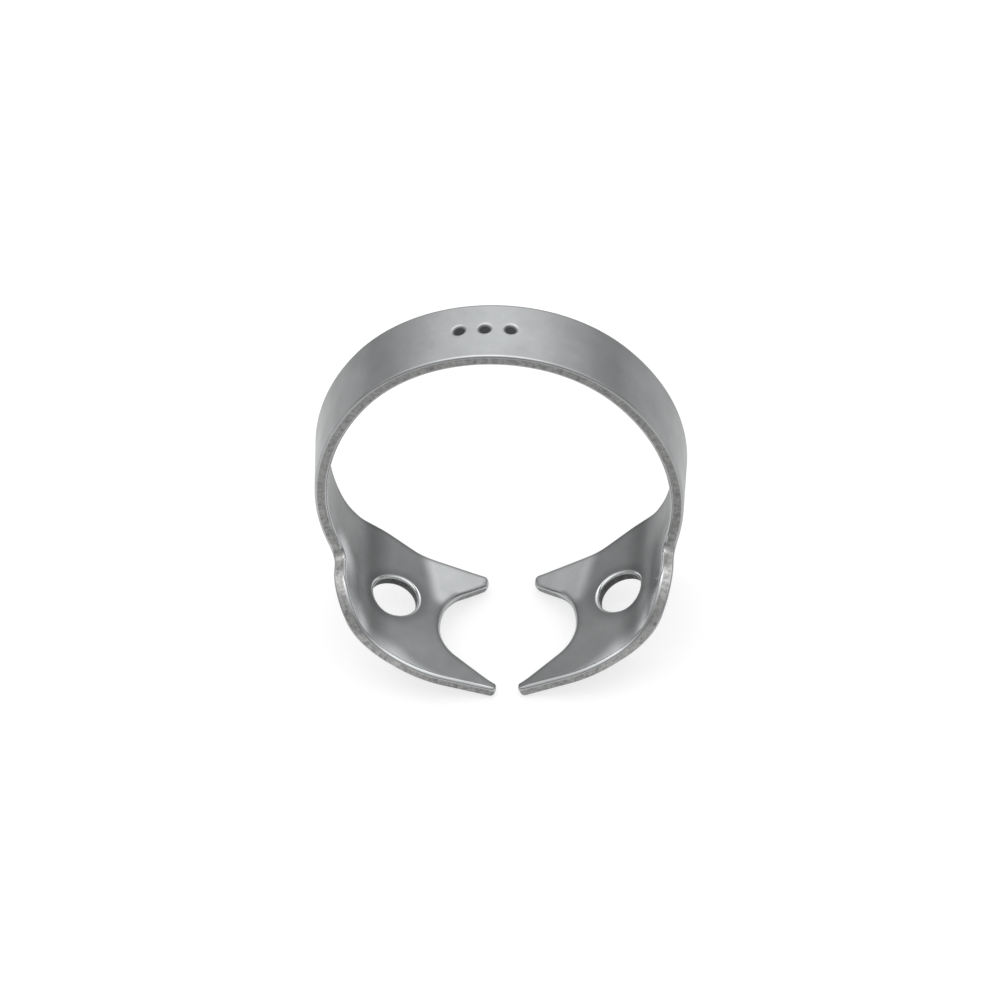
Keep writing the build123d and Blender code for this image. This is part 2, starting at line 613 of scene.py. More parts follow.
        plate = along <= 0
        place[plate] = self.on_plate(along[plate], across[plate], deep[plate])

        part = (along > 0) & (along <= shoulder_end)
        angle = math.radians(self.jaw_slope - 90) + along[part] / self.shoulder_inner
        place[part] = self.on_arc(self.shoulder_centre, self.shoulder_inner, angle, across[part], deep[part])

        part = (along > shoulder_end) & (along <= flank_end)
        angle = math.radians(-self.flank_turn) + (along[part] - shoulder_end) / self.flank_inner
        place[part] = self.on_arc(self.flank_centre, self.flank_inner, angle, across[part], deep[part])

        part = along > flank_end
        angle = math.radians(90 - self.crown_turn) + (along[part] - flank_end) / self.crown_inner
        place[part] = self.on_crown(angle, across[part], deep[part])

        place[left, 0] *= -1
        return place + self.stand

    def reach_of(self, flat: Points) -> Points:
        """Return how far bent places of the right half reach down the line of its plate."""
        return (self.bent(flat) - self.stand - self.hole_centre) @ self.towards_tooth

    def along_at(self, reach: Points, across: Points, deep: Points) -> Points:
        """Find how far along the strip the places lie that have a given reach.

        Args:
            reach: Reach on the plate, or straight over it on the shoulder and flank.
            across: Place across the strip.
            deep: Depth in the steel.

        Returns:
            Places along the strip.
        """
        along = self.bend_reach(across) - reach
        over = along > 0
        low = np.zeros(over.sum())
        high = np.full(over.sum(), self.widest)
        for _ in range(HALVINGS):
            middle = (low + high) / 2
            short = self.reach_of(np.stack([middle, across[over], deep[over]], axis=-1)) > reach[over]
            low = np.where(short, middle, low)
            high = np.where(short, high, middle)
        along[over] = (low + high) / 2
        return along


@dataclass(frozen=True)
class EdgeForm:
    """Cross-section of a punched and tumbled edge."""

    reach: float = 0.26         # how far the rounding runs onto a face
    on_bow: float = 0.7         # share of that on the bow, and on the jaws, which are tumbled most
    on_jaws: float = 1.4
    inner_fall: float = 0.2     # how far it falls at the inner face
    outer_fall: float = 0.17
    worn_inner_fall: float = 0.4    # the same on the prongs, the notch and the rear edge, worn round
    worn_outer_fall: float = 0.3
    worn_facing: float = 0.1        # an edge that faces front or outer side by more isn't worn
    worn_rounds: int = 8            # of averaging, which blend the worn edge into the rest
    tip_room: float = 0.8           # share of a narrow prong that the roundings of its two edges may take
    tip_rounds: int = 3
    arc_steps: int = 8
    wall_steps: int = 3
    support: float = 0.06           # a ring this far past the rounding keeps the face flat

    def profile(self, sheet: float, worn: bool = False) -> list[tuple[float, float]]:
        """Return the edge's rings, from the inner face over the wall to the outer face.

        Args:
            sheet: Thickness of the steel.
            worn: Whether the edge is worn round.

        Returns:
            Inset from the outline and depth in the steel of each ring.
        """
        inner_fall = self.worn_inner_fall if worn else self.inner_fall
        outer_fall = self.worn_outer_fall if worn else self.outer_fall
        turns = [math.pi / 2 * step / self.arc_steps for step in range(self.arc_steps + 1)]
        parts = [step / self.wall_steps for step in range(1, self.wall_steps)]
        rings = [(self.reach + self.support, 0.0)]
        rings += [(self.reach * (1 - math.sin(turn)), inner_fall * (1 - math.cos(turn))) for turn in turns]
        rings += [(0.0, inner_fall * (1 - part) + (sheet - outer_fall) * part) for part in parts]
        rings += [(self.reach * (1 - math.cos(turn)), sheet - outer_fall * (1 - math.sin(turn)))
                  for turn in turns]
        return rings + [(self.reach + self.support, sheet)]


@dataclass(frozen=True)
class PressedMark:
    """A generic mark in the crown: a short row of round punch marks."""

    count: int = 3
    spacing: float = 1.55
    width: float = 0.92
    depth: float = 0.11
    across: float = 2.45
    bottom: float = 0.62        # share of a mark's radius that is flat at the bottom

    def places(self, top: float) -> list[tuple[float, float]]:
        """Return along and across of each punch mark."""
        first = -(self.count - 1) / 2
        return [(top + (first + number) * self.spacing, self.across) for number in range(self.count)]

    def tree(self, material: bpy.types.Material) -> Tree:
        """Build the node tree that presses the row of marks into a flat blank.

        Args:
            material: The finish that the tree sets on all but the sheared wall.

        Returns:
            A geometry tree with named inputs for its sizes, in metres.
        """
        tree = bpy.data.node_groups.new("press_row_of_marks", "GeometryNodeTree")
        face = tree.interface
        face.new_socket("Blank", in_out="INPUT", socket_type="NodeSocketGeometry")
        for name in ("Top", "Across", "Spacing", "Width", "Depth", "Sheet"):
            face.new_socket(name, in_out="INPUT", socket_type="NodeSocketFloat")
        face.new_socket("Count", in_out="INPUT", socket_type="NodeSocketInt")
        face.new_socket("Pressed", in_out="OUTPUT", socket_type="NodeSocketGeometry")
        given = add_node(tree, "NodeGroupInput").outputs
        here = add_node(tree, "GeometryNodeInputPosition").outputs[0]
        place = add_node(tree, "ShaderNodeSeparateXYZ", {0: here}).outputs
        do = partial(maths, tree)

        # Which mark of the row is nearest, and how far its middle is from here.
        off = do("SUBTRACT", place["X"], given["Top"])
        last = do("SUBTRACT", given["Count"], 1.0)
        half = do("MULTIPLY", last, 0.5)
        number = do("ROUND", do("ADD", do("DIVIDE", off, given["Spacing"]), half))
        number = do("MINIMUM", do("MAXIMUM", number, 0.0), last)
        side = do("SUBTRACT", off, do("MULTIPLY", do("SUBTRACT", number, half), given["Spacing"]))
        back = do("SUBTRACT", place["Y"], given["Across"])
        gap = do("SQRT", do("ADD", do("MULTIPLY", side, side), do("MULTIPLY", back, back)))

        # Only the outer face is pressed, and the rest of the sheet stays as it is.
        near = do("DIVIDE", gap, do("MULTIPLY", given["Width"], 0.5))
        press = mapped(tree, near, self.bottom, 1.0, 1.0, 0.0, interpolation_type="SMOOTHSTEP")
        almost_out = do("MULTIPLY", given["Sheet"], 0.98)
        press = do("MULTIPLY", press, do("GREATER_THAN", place["Z"], almost_out))
        fall = do("MULTIPLY", do("MULTIPLY", press, given["Depth"]), -1.0)
        down = add_node(tree, "ShaderNodeCombineXYZ", {"Z": fall}).outputs[0]
        kept = add_node(tree, "GeometryNodeStoreNamedAttribute",
                        {"Geometry": given["Blank"], "Name": "pressed", "Value": press},
                        data_type="FLOAT", domain="POINT")
        moved = add_node(tree, "GeometryNodeSetPosition", {"Geometry": kept.outputs[0], "Offset": down})
        real = add_node(tree, "GeometryNodeRealizeInstances", {0: moved.outputs[0]})
        slot = add_node(tree, "GeometryNodeInputMaterialIndex")
        broad = add_node(tree, "FunctionNodeCompare", {2: slot.outputs[0], 3: Finish.SATIN.value},
                         data_type="INT", operation="EQUAL")
        dressed = add_node(tree, "GeometryNodeSetMaterial",
                           {"Geometry": real.outputs[0], "Selection": broad.outputs[0], "Material": material})
        add_node(tree, "NodeGroupOutput", {"Pressed": dressed.outputs[0]})
        return tree


@dataclass(frozen=True)
class SatinSteel:
    """Stainless spring steel, tumbled and satin polished: soft grey reflections and faint lines.

    A vertex attribute scales each place's colour beside the polished outside of the bow, as painted
    light and shade. It is lower inside the bend, holds painted shade round and in the holes and beside
    the rear edges, and painted highlights and reflections on the rounded edges, rims and rear prongs.
    """

    name: str = "satin_polished_spring_steel"
    colour: str = "#c5c7c8"         # a light, neutral steel
    stain: str = "#b8babb"          # a little darker in soft clouds, so that it isn't one even grey
    mark: str = "#47474a"           # the punch marks are coloured dark and read as dark dots
    roughness: float = 0.23         # blurs the room into broad, soft bands
    dull_roughness: float = 0.34    # where the share of painted light is half, a more even grey
    half_painted_light: float = 0.5
    bright_roughness: float = 0.15  # where the painted highlight share is above 1 on the rounded edges, crisp highlights
    bright_painted_light: float = 1.15
    mark_roughness: float = 0.22    # added in the punch marks
    line_width: float = 0.09        # polishing lines are about 0.03 mm, drawn coarser to show
    line_run: float = 20.0          # and this many times as long, along the strip
    line_relief: float = 0.004
    line_strength: float = 0.35
    wave: float = 5.0               # the hand polish leaves the faces slightly wavy over this length
    wave_relief: float = 0.05       # and the reflections a little uneven
    cloud: float = 2.4              # soft clouds where the tumbling cut more or less
    stained: tuple[float, float] = (0.35, 0.7)      # heights of the clouds that show no stain and all of it
    clouded: tuple[float, float] = (0.3, 0.75)      # and that are smoothest and roughest
    smoother: float = 0.02
    rougher: float = 0.04
    off_face: float = 0.005         # deeper than this is off the inner face, on an edge

    def build(self) -> bpy.types.Material:
        """Build the finish.

        Returns:
            Its material.
        """
        material = new_material(self.name)
        tree = material.node_tree
        flat = stored(tree, "flat_place", "Vector")
        pressed, painted_light = stored(tree, "pressed"), stored(tree, "painted_light")
        here = add_node(tree, "ShaderNodeTexCoord").outputs["Object"]
        drawn = stretched(tree, flat, (1 / (self.line_run * self.line_width), 1 / self.line_width, 1.0))
        lines = noise(tree, drawn, scale=1.0, detail=3.0, roughness=0.6)
        waves = noise(tree, here, scale=1 / (self.wave * MM), detail=1.0)
        clouds = noise(tree, here, scale=1 / (self.cloud * MM), detail=4.0, roughness=0.62)
        steel = blend(tree, mapped(tree, clouds, *self.stained), linear(self.colour), linear(self.stain))

        more = partial(maths, tree, "MULTIPLY_ADD")
        rough = mapped(tree, clouds, *self.clouded, self.roughness - self.smoother,
                       self.roughness + self.rougher)
        dull = mapped(tree, painted_light, self.half_painted_light, 1.0, 1.0, 0.0)
        rough = more(dull, self.dull_roughness - self.roughness, rough)
        deep = add_node(tree, "ShaderNodeSeparateXYZ", {0: flat}).outputs["Z"]
        on_edge = maths(tree, "GREATER_THAN", deep, self.off_face)
        bright = mapped(tree, painted_light, 1.0, self.bright_painted_light, 0.0, on_edge)
        rough = more(bright, self.bright_roughness - self.roughness, rough)
        rough = more(pressed, self.mark_roughness, rough)

        wavy = bump(tree, waves, self.wave_relief, 1.0)
        lined = bump(tree, lines, self.line_relief, self.line_strength, wavy)
        # the steel's colour is scaled by its share of painted light and shade: painted shade and painted
        # highlights
        bare_metal(tree, blend(tree, pressed, dimmed(tree, steel, painted_light), linear(self.mark)), rough, lined)
        return material


@dataclass(frozen=True)
class ShearedSteel:
    """The sheared wall of the punched blank: matt, darker and torn in patches and streaks."""

    name: str = "sheared_edge_steel"
    light: str = "#adadab"
    dark: str = "#7c7c7e"
    roughness: float = 0.42         # no reflections, only a broad sheen
    tear: float = 0.34              # the torn patches are about this wide
    streak: float = 0.2             # and the drag lines of the punch, which run through the sheet
    streak_squeeze: float = 0.12    # their pattern is squeezed to this through the sheet, so they run long
    streak_share: float = 0.22      # how much they show beside the patches
    torn: tuple[float, float] = (0.36, 0.58)        # heights that are darkest and lightest
    relief: float = 0.03
    relief_strength: float = 0.6

    def build(self) -> bpy.types.Material:
        """Build the finish.

        Returns:
            Its material.
        """
        material = new_material(self.name)
        tree = material.node_tree
        flat, painted_light = stored(tree, "flat_place", "Vector"), stored(tree, "painted_light")
        patches = noise(tree, flat, scale=1 / self.tear, detail=5.0, roughness=0.7)
        drawn = stretched(tree, flat, (1.0, 1.0, self.streak_squeeze))
        streaks = noise(tree, drawn, scale=1 / self.streak, detail=2.0)
        both = {"Factor": self.streak_share, 2: patches, 3: streaks}
        height = add_node(tree, "ShaderNodeMix", both).outputs[0]
        steel = blend(tree, mapped(tree, height, *self.torn), linear(self.dark), linear(self.light))
        torn = bump(tree, height, self.relief, self.relief_strength)
        # the wall's colour is scaled by its share of painted light and shade: painted sheen at the jaws'
        # outer rims, painted shade in the forceps holes
        bare_metal(tree, dimmed(tree, steel, painted_light), self.roughness, torn)
        return material


@dataclass(frozen=True)
class PaintedLightShares:
    """Where the clamp's colour is painted brighter and darker, as shares of the polished outside of the bow:
    painted light and shade.
    """

    inside: float = 0.53            # inside the bend, behind the holes
    front: float = 0.65             # on the front half of the jaws
    front_run: float = 5.0          # over which it gets there
    rim: float = 0.25               # painted highlight added along the front rim of a jaw
    rim_width: float = 0.45
    rim_facing: float = 0.5         # an edge that faces front or outer side by more is a rim
    rim_front: float = -0.2         # and it lies in front of this line
    side: float = 1.05              # and along its outer rim, a painted reflection of the bright trough there
    side_width: float = 2.1
    side_gain: float = 1.4          # makes a rim count as outer before it faces all the way out
    left_prong: float = 1.5         # painted highlights on the rear prongs, the left one brighter
    right_prong: float = 1.2
    prong_blend: float = 1.1
    prong_lead: float = 0.9         # the bright part starts this far before the fold and the bow's front edge
    prong_border: float = 0.1       # and this far from the prong's edges
    back_edge: float = 0.14         # painted shade, taken off beside the rear edge and the notch
    back_width: float = 0.45
    back_border: float = 0.2
    hole_ring: float = 0.13         # painted shade, taken off round the forceps holes
    hole_width: float = 0.8
    edge: float = 1.15              # painted highlight on the rounded edges
    hole_edge: float = 1.5          # painted highlight on the rounded rims of the forceps holes
    wall: float = 1.08              # sheared wall
    side_wall: float = 1.7          # painted sheen on the sheared wall at the outer rim of a jaw
    bore: float = 0.35              # painted shade in the forceps holes
    face_depth: float = 0.01        # a place less deep than this lies on the face

    def gaps(self, places: Points, outline: Points, inward: Points,
             bends: Bends) -> tuple[Points, Points, Points]:
        """Measure how far the flat places are from the edges of the jaws.

        Args:
            places: The flat places.
            outline: The blank's outline.
            inward: Vectors into the steel at the outline.
            bends: Sizes of the strip.

        Returns:
            Distance to the nearest rim, how much that rim is an outer one, and distance to the
            nearest rear or notch edge.
        """
        forward, outward = bends.facing(outline, inward)
        rims = (forward + outward > self.rim_facing) & (outline[:, 1] < self.rim_front)
        rim, back = outline[rims], outline[forward + outward < 0]
        outer = smooth(outward[rims] * self.side_gain)
        gap, side, back_gap = (np.empty(len(places)) for _ in range(3))
        for start in range(0, len(places), AT_ONCE):
            part = slice(start, start + AT_ONCE)
            apart = np.linalg.norm(places[part, None, :2] - rim[None], axis=2)
            gap[part] = apart.min(axis=1)
            side[part] = outer[apart.argmin(axis=1)]
            back_gap[part] = np.linalg.norm(places[part, None, :2] - back[None], axis=2).min(axis=1)
        return gap, side, back_gap

    def painted_light(self, places: Points, bored: slice, outline: Points, inward: Points, bends: Bends,
              edge: EdgeForm) -> Points:
        """Work out each flat place's share of painted light and shade.

        Args:
            places: All the blank's flat places.
            bored: The ones of the forceps holes.
            outline: The blank's outline.
            inward: Vectors into the steel at the outline.
            bends: Sizes of the strip.
            edge: Form of its edges.

        Returns:
            A share for each place.
        """
        along, left = bends.mirrored(places[:, 0])
        across, deep = places[:, 1], places[:, 2]
        reach = bends.bend_reach(across) - along
        gap, side, back_gap = self.gaps(places, outline, inward, bends)

        inner = self.inside + (self.front - self.inside) * smooth(-across / self.front_run)
        # painted highlight along the front rims and painted reflection along the outer rims
        near = gap / (self.rim_width + (self.side_width - self.rim_width) * side)
        inner += (self.rim + (self.side - self.rim) * side) * smooth(1 - near)
        # painted highlights on the rear prongs, the left one brighter
        past = (reach - bends.fold_reach + self.prong_lead) * cosd(bends.fold_lean)
        past += across * sind(bends.fold_lean)
        prong_highlight = smooth(past / self.prong_blend) * smooth((across + self.prong_lead) / self.prong_blend)
        prong_highlight *= smooth((back_gap - self.prong_border) / self.back_width)
        # painted shade beside the rear edge and the notch
        inner -= self.back_edge * smooth(1 - (back_gap - self.back_border) / self.back_width)
        punch = bends.punch
        # painted shade round the forceps holes
        hole_gap = np.hypot(reach, across + punch.hole_forward) - punch.hole_radius - edge.reach
        inner -= self.hole_ring * smooth(1 - hole_gap / self.hole_width)
        inner += (np.where(left, self.left_prong, self.right_prong) - inner) * prong_highlight

        # painted sheen on the sheared wall at the outer rims and painted shade in the forceps holes
        walled = self.wall + (self.side_wall - self.wall) * side * smooth(1 - gap / self.side_width)
        walled[bored] = self.bore
        is_wall = (deep > edge.inner_fall - TOUCH) & (deep < bends.sheet - edge.outer_fall + TOUCH)
        # painted highlights on the rounded edges, brightest on the rims of the forceps holes
        rounded = np.full(len(places), self.edge)
        rounded[bored] = self.hole_edge
        outer = np.where(deep > bends.sheet - self.face_depth, 1.0, rounded)
        return np.where(deep < self.face_depth, inner, np.where(is_wall, walled, outer))


@dataclass
class ClampStrip:
    """The whole clamp: one strip, punched flat, marked and bent."""

    bends: Bends = field(default_factory=Bends)
    edge: EdgeForm = field(default_factory=EdgeForm)
    mark: PressedMark = field(default_factory=PressedMark)
    satin: SatinSteel = field(default_factory=SatinSteel)
    sheared: ShearedSteel = field(default_factory=ShearedSteel)
    painted_light_shares: PaintedLightShares = field(default_factory=PaintedLightShares)
    name: str = "spring_steel_clamp"
    step: float = 0.16              # between points of a jaw's outline
    bow_step: float = 0.24          # and of the bow's
    strip_reach: float = -60.0      # where a jaw's own outline is closed, past the flank
    hole_points: int = 96
    grid: float = 0.24              # between points inside a face
    row: float = 0.866              # between rows, as a share of that, for even triangles
    margin: float = 0.45            # share of the grid that stays free beside an edge
    fine_grid: float = 0.07         # at the marks
    fine_reach: float = 0.62        # radius of the fine grid, as a share of a mark's width
    fine_margin: float = 0.1

    def loop(self) -> Points:
        """Draw the blank's closed outline, the steel on its left.

        Returns:
            Along and across of its points.
        """
        bends, level, top = self.bends, self.bends.widest, self.bends.spans[2]
        path = bends.punch.outline(bends.depth, self.strip_reach, self.step)
        stops = bends.reach_of(np.array([[level, bends.depth, 0.0], [level, 0.0, 0.0]]))
        middle = len(path) // 2
        path = np.concatenate([part[part[:, 0] > stop + self.step / 2]
                               for part, stop in zip((path[:middle], path[middle:]), stops)])
        along = bends.along_at(path[:, 0], path[:, 1], np.zeros(len(path)))
        jaw = np.stack([along, path[:, 1]], axis=-1)
        count = math.ceil((top - level) / self.bow_step)
        straight = level + (top - level) * np.arange(count + 1) / count
        back = np.stack([straight[::-1], np.full(count + 1, bends.depth)], axis=-1)
        front = np.stack([straight, np.zeros(count + 1)], axis=-1)
        half = np.concatenate([back, jaw, front])
        other = half[::-1][1:-1] * [-1, 1] + [2 * top, 0]
        return np.concatenate([half, other])

    def inward(self, loop: Points) -> Points:
        """Find the way into the steel along the outline.

        Each vector is as long as the edge's rounding there, as a share of its usual reach. In the
        narrow prong tips, where the widest circle that touches the edge is small, less of it fits.

        Args:
            loop: The closed outline.

        Returns:
            Vectors to the left of the outline.
        """
        way = unit(np.roll(loop, -1, axis=0) - np.roll(loop, 1, axis=0))
        inward = np.stack([-way[:, 1], way[:, 0]], axis=-1)
        widest = self.edge.reach + self.edge.support
        room = np.empty(len(loop))
        for place, (point, side) in enumerate(zip(loop, inward)):
            gap = loop - point
            off = gap @ side
            near = off > TOUCH
            room[place] = ((gap[near] ** 2).sum(axis=1) / (2 * off[near])).min()
        up = self.bends.up_shoulder(loop[:, 0])
        share = self.edge.on_jaws + (self.edge.on_bow - self.edge.on_jaws) * up
        share = np.minimum(share, self.edge.tip_room * room / widest)
        for _ in range(self.edge.tip_rounds):
            share = np.minimum(share, averaged(share))
        return inward * share[:, None]

    def worn(self, loop: Points, inward: Points) -> Points:
        """Tell how far the edge is worn round: on the tooth and rear sides of the jaws.

        Args:
            loop: The closed outline.
            inward: Vectors into the steel there.

        Returns:
            A share for each point, from 0 to 1.
        """
        forward, outward = self.bends.facing(loop, inward)
        worn = (1 - self.bends.up_shoulder(loop[:, 0])) * (forward + outward < self.edge.worn_facing)
        for _ in range(self.edge.worn_rounds):
            worn = averaged(worn)
        return worn

    def hole_ring(self, inset: float, deep: float, right: bool) -> Points:
        """Return one ring of a forceps hole.

        Args:
            inset: How much wider than the hole the ring is.
            deep: Its depth in the steel.
            right: Whether it is in the right jaw.

        Returns:
            Its flat places.
        """
        punch = self.bends.punch
        turn = np.linspace(0, 2 * math.pi, self.hole_points + 1)[:-1]
        radius = punch.hole_radius + inset
        reach = radius * np.cos(turn)
        across = radius * np.sin(turn) - punch.hole_forward
        depths = np.full(len(turn), deep)
        ring = np.stack([self.bends.along_at(reach, across, depths), across, depths], axis=-1)
        if right:
            return ring
        ring[:, 0] = 2 * self.bends.spans[2] - ring[:, 0]
        return ring[::-1]

    @staticmethod
    def within(points: Points, loop: Points) -> Points:
        """Tell which flat points lie inside a closed loop.

        Args:
            points: The flat points.
            loop: The loop's points.

        Returns:
            True for each point inside.
        """
        ahead = np.roll(loop, -1, axis=0)
        rise = np.where(ahead[:, 1] == loop[:, 1], 1e-12, ahead[:, 1] - loop[:, 1])
        crossed = np.zeros(len(points), dtype=bool)
        for start in range(0, len(points), AT_ONCE):
            part = points[start:start + AT_ONCE]
            level = (loop[None, :, 1] > part[:, None, 1]) != (ahead[None, :, 1] > part[:, None, 1])
            cut = loop[None, :, 0] + (part[:, None, 1] - loop[None, :, 1]) / rise * (ahead - loop)[None, :, 0]
            crossed[start:start + AT_ONCE] = ((level & (cut > part[:, None, 0])).sum(axis=1) % 2) == 1
        return crossed

    def on_steel(self, points: Points, loops: list[Points]) -> Points:
        """Tell which flat points lie on the steel.

        Args:
            points: The flat points.
            loops: The outline's ring and the rings of the holes.

        Returns:
            True for each point inside the outline and outside the holes.
        """
        kept = self.within(points, loops[0][:, :2])
        for hole in loops[1:]:
            kept &= ~self.within(points, hole[:, :2])
        return kept

    def cells(self, low: Points, high: Points, finer: bool) -> Points:
        """Spread points over the box of the blank.

        Args:
            low: The box's low corner.
            high: Its high corner.
            finer: Whether the places of the pressed marks get a finer grid.

        Returns:
            The flat points.
        """
        rows = np.arange(low[1], high[1], self.grid * self.row)
        columns = np.arange(low[0], high[0], self.grid)
        cells = np.array([(column + (self.grid / 2 if number % 2 else 0), row)
                          for number, row in enumerate(rows) for column in columns])
        if finer:
            reach = self.mark.width * self.fine_reach
            ticks = np.arange(-reach, reach + self.fine_grid, self.fine_grid)
            spots = self.mark.places(self.bends.spans[2])
            for along, across in spots:
                away = np.hypot(cells[:, 0] - along, cells[:, 1] - across)
                cells = cells[away > reach + self.fine_margin]
            disc = np.array([(x, y) for x in ticks for y in ticks if math.hypot(x, y) <= reach])
            cells = np.concatenate([cells] + [disc + spot for spot in spots])
        return cells

    def cover(self, loops: list[Points], finer: bool) -> tuple[Points, list[tuple[int, int, int]]]:
        """Fill a face of the blank with triangles.

        Args:
            loops: The outline's ring and the rings of the holes, as flat points.
            finer: Whether the places of the pressed marks get a finer grid.

        Returns:
            Added inner points, and triangles that number the rings' points first.
        """
        edge_points = np.concatenate([loop[:, :2] for loop in loops])
        tree = kdtree.KDTree(len(edge_points))
        for number, (along, across) in enumerate(edge_points):
            tree.insert((along, across, 0), number)
        tree.balance()
        cells = self.cells(edge_points.min(axis=0), edge_points.max(axis=0), finer)
        cells = cells[self.on_steel(cells, loops)]
        free = self.grid * self.margin
        cells = np.array([cell for cell in cells if tree.find((cell[0], cell[1], 0))[2] > free])
        points = np.concatenate([edge_points, cells])
        edges, start = [], 0
        for loop in loops:
            edges += [(start + place, start + (place + 1) % len(loop)) for place in range(len(loop))]
            start += len(loop)
        result = geometry.delaunay_2d_cdt([Vector(point) for point in points], edges, [], 0, 1e-7)
        back_to = [sources[0] for sources in result[3]]
        faces = np.array([[back_to[corner] for corner in face] for face in result[2]])
        inside = self.on_steel(points[faces].mean(axis=1), loops)
        return cells, [tuple(int(corner) for corner in face) for face in faces[inside]]

    def round_edge(self, size: int, starts: list[int]) -> tuple[list[tuple[int, ...]], list[int]]:
        """Join the rings of one edge with quads.

        Args:
            size: Number of points in each ring.
            starts: Number of each ring's first point.

        Returns:
            The quads and the material slot of each.
        """
        first = self.edge.arc_steps + 1
        faces, slots = [], []
        for ring, (here, there) in enumerate(zip(starts, starts[1:])):
            finish = Finish.SHEARED if first <= ring < first + self.edge.wall_steps else Finish.SATIN
            for place in range(size):
                ahead = (place + 1) % size
                faces.append((here + place, here + ahead, there + ahead, there + place))
                slots.append(finish.value)
        return faces, slots

    def blank(self, finish: bpy.types.Material, wall: bpy.types.Material) -> bpy.types.Object:
        """Build the flat blank, in metres, with its edges rounded.

        Args:
            finish: Finish of the broad faces and rounded edges.
            wall: Finish of the sheared wall.

        Returns:
            A mesh object in flat places.
        """
        sheet = self.bends.sheet
        profile, worn_profile = (self.edge.profile(sheet, worn) for worn in (False, True))
        outline = self.loop()
        inward = self.inward(outline)
        worn = self.worn(outline, inward)
        stacks = [[np.column_stack([outline + inset * inward, deep + (worn_deep - deep) * worn])
                   for (inset, deep), (_, worn_deep) in zip(profile, worn_profile)]]
        stacks += [[self.hole_ring(inset, deep, right) for inset, deep in profile]
                   for right in (True, False)]

        verts: list[Points] = []
        starts: list[list[int]] = []
        faces: list[tuple[int, ...]] = []
        slots: list[int] = []
        total = 0
        for stack in stacks:
            size = len(stack[0])
            starts.append([total + number * size for number in range(len(stack))])
            verts += stack
            total += len(stack) * size
            quads, quad_slots = self.round_edge(size, starts[-1])
            faces += quads
            slots += quad_slots
        bored = slice(starts[1][0], total)
        for ring, side in ((0, Face.INNER), (-1, Face.OUTER)):
            cells, triangles = self.cover([stack[ring] for stack in stacks], side is Face.OUTER)
            numbers = np.concatenate([np.arange(len(stack[ring])) + first[ring]
                                      for stack, first in zip(stacks, starts)]
                                     + [np.arange(len(cells)) + total])
            verts.append(np.column_stack([cells, np.full(len(cells), 0.0 if side is Face.INNER else sheet)]))
            total += len(cells)
            for triangle in triangles:
                corners = [int(numbers[corner]) for corner in triangle]
                faces.append(tuple(corners[::-1] if side is Face.INNER else corners))
            slots += [Finish.SATIN.value] * len(triangles)
            log.info("%s face of the blank: %d triangles", side.value, len(triangles))

        places = np.concatenate(verts)
        mesh = bpy.data.meshes.new("flat_blank")
        mesh.from_pydata((places * MM).tolist(), [], faces)
        mesh.materials.append(finish)
        mesh.materials.append(wall)
        mesh.polygons.foreach_set("material_index", slots)
        mesh.polygons.foreach_set("use_smooth", [True] * len(faces))
        mesh.attributes.new("flat_place", "FLOAT_VECTOR", "POINT").data.foreach_set("vector", places.ravel())
        painted_light = self.painted_light_shares.painted_light(places, bored, outline, inward, self.bends, self.edge)
        mesh.attributes.new("painted_light", "FLOAT", "POINT").data.foreach_set("value", painted_light)
        return new_object("flat_blank", mesh)

    def press(self, blank: bpy.types.Object, finish: bpy.types.Material) -> bpy.types.Mesh:
        """Press the mark into the blank with its node tree.

        Args:
            blank: The flat blank, which is used up.
            finish: Finish of the broad faces.

        Returns:
            The result as a plain mesh.
        """
        tree = self.mark.tree(finish)
        modifier = blank.modifiers.new("press", "NODES")
        modifier.node_group = tree
        sizes = {"Top": self.bends.spans[2], "Across": self.mark.across, "Spacing": self.mark.spacing,
                 "Width": self.mark.width, "Depth": self.mark.depth, "Sheet": self.bends.sheet}
        values = {name: size * MM for name, size in sizes.items()} | {"Count": self.mark.count}
        for item in tree.interface.items_tree:
            if item.in_out == "INPUT" and item.name in values:
                modifier[item.identifier] = values[item.name]
        depsgraph = bpy.context.evaluated_depsgraph_get()
        mesh = bpy.data.meshes.new_from_object(blank.evaluated_get(depsgraph))
        blank.modifiers.remove(modifier)
        bpy.data.objects.remove(blank)
        return mesh

    def build(self) -> bpy.types.Object:
        """Build the clamp and dress it.

        Returns:
            The finished clamp, which replaces its CAD node.
        """
        finish, wall = self.satin.build(), self.sheared.build()
        mesh = self.press(self.blank(finish, wall), finish)
        flat = np.empty(len(mesh.vertices) * 3)
        mesh.vertices.foreach_get("co", flat)
        place = self.bends.bent(flat.reshape(-1, 3) / MM) * MM
        mesh.vertices.foreach_set("co", place.ravel())
        mesh.flip_normals()     # bending turns the flat places' frame over
        mesh.update()
        mesh.name = self.name
        clamp = new_object(self.name, mesh)
        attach(clamp, "root")
        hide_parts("clamp")
        log.info("clamp: %d vertices, %d faces", len(mesh.vertices), len(mesh.polygons))
        return clamp


